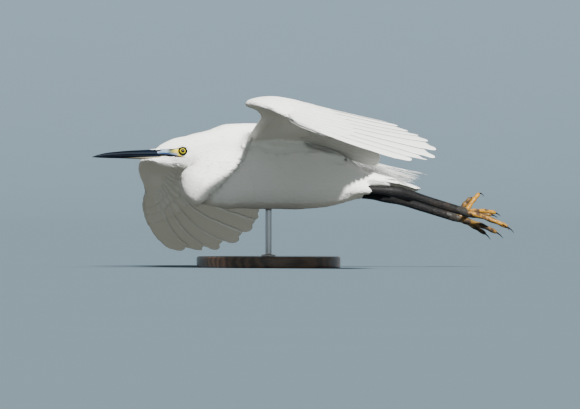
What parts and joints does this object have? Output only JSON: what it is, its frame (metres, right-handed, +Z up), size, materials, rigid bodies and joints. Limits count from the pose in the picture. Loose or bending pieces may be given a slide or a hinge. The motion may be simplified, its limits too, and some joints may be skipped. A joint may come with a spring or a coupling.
{
  "type": "flying little egret model",
  "caption": "Life-size white egret in level flight, wings mid-beat and legs trailing, on a short rod over a round base.",
  "frame": {"origin": "centre of the round base's underside, on the rod's axis", "axes": "+X ahead, the way the bill points; +Y to the bird's left; +Z up"},
  "size_m": [0.5527, 0.7636, 0.218],
  "materials": {
    "plumage": "matt white feathers",
    "bill_horn": "satin black horn",
    "iris": "wet yellow eye",
    "leg_skin": "satin black scaly skin",
    "toe_skin": "satin yellow scaly skin",
    "base_wood": "dark satin varnish",
    "rod_steel": "brushed"
  },
  "bodies": {
    "root": {"torso": "plumage", "neck_upper": "plumage", "neck_lower": "plumage", "head": "plumage", "bill_upper": "bill_horn", "bill_lower": "bill_horn", "tail": "plumage", "back_plumes": "plumage", "eye_left": "iris", "wing_left_arm": "plumage", "wing_left_hand": "plumage", "leg_left": "leg_skin", "foot_left": "toe_skin", "eye_right": "iris", "wing_right_arm": "plumage", "wing_right_hand": "plumage", "leg_right": "leg_skin", "foot_right": "toe_skin", "stand_base": "base_wood", "stand_rod": "rod_steel"}
  },
  "joints": []
}
